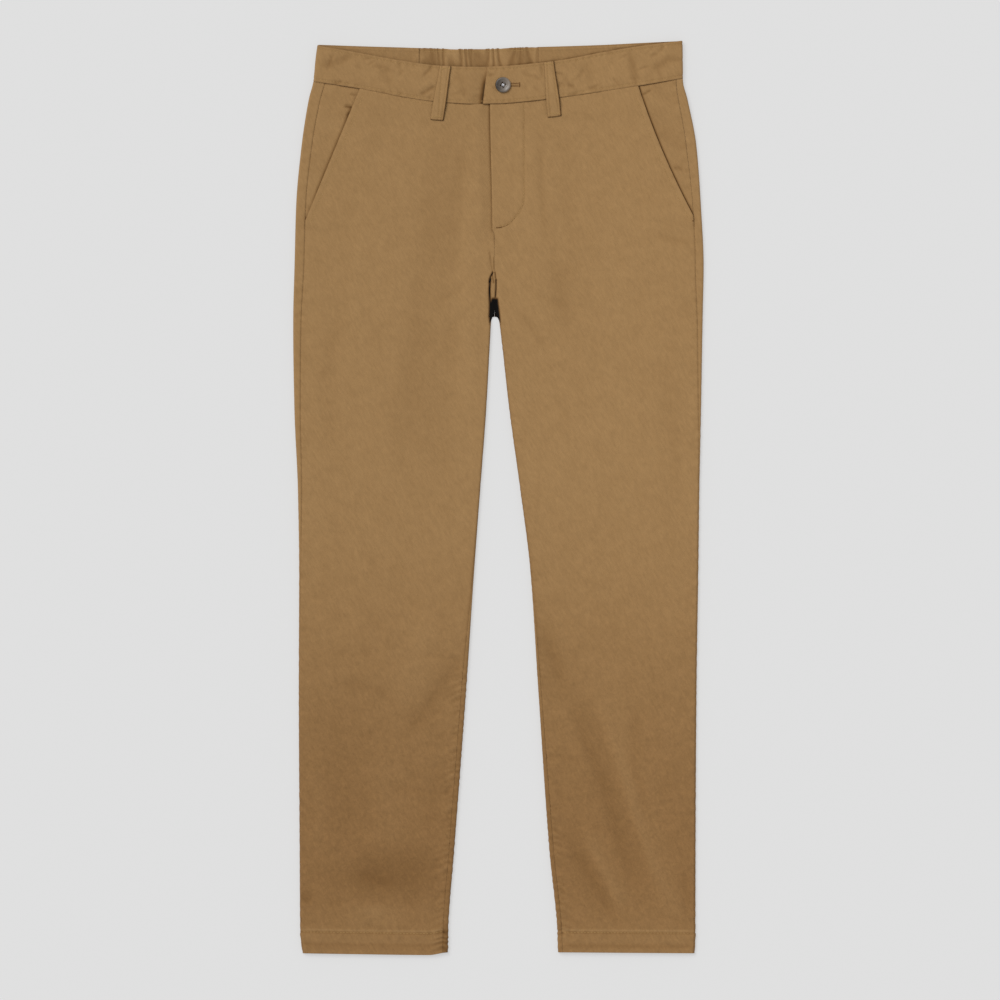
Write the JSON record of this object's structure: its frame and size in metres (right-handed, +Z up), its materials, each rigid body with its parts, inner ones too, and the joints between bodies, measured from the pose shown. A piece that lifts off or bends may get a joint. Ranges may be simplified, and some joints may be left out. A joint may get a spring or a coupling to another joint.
{
  "type": "chino trousers",
  "caption": "Long straight chino trousers laid flat with the front up: button waistband with belt loops and an elasticated back, fly, slant pockets, plain hems.",
  "frame": {"origin": "middle of the garment's outline, on the surface that it lies on", "axes": "+X across the garment towards the wearer's left, +Y from the hems to the waist, +Z up from the surface, out of the front"},
  "size_m": [0.4718, 1.0504, 0.0118],
  "materials": {
    "cotton_twill": "matte washed twill",
    "zip_tape": "matte woven tape",
    "button_resin": "satin moulded resin",
    "sewing_thread": "matte polyester thread"
  },
  "bodies": {
    "root": {"front_right": "cotton_twill", "front_left": "cotton_twill", "back_right": "cotton_twill", "back_left": "cotton_twill", "pocket_facing_right": "cotton_twill", "pocket_facing_left": "cotton_twill", "waistband_right": "cotton_twill", "waistband_left": "cotton_twill", "waistband_back": "cotton_twill", "belt_loop_front_right": "cotton_twill", "belt_loop_front_left": "cotton_twill", "belt_loop_back_right": "cotton_twill", "belt_loop_back_centre": "cotton_twill", "belt_loop_back_left": "cotton_twill", "fly_zip": "zip_tape", "waist_button": "button_resin"}
  },
  "joints": []
}
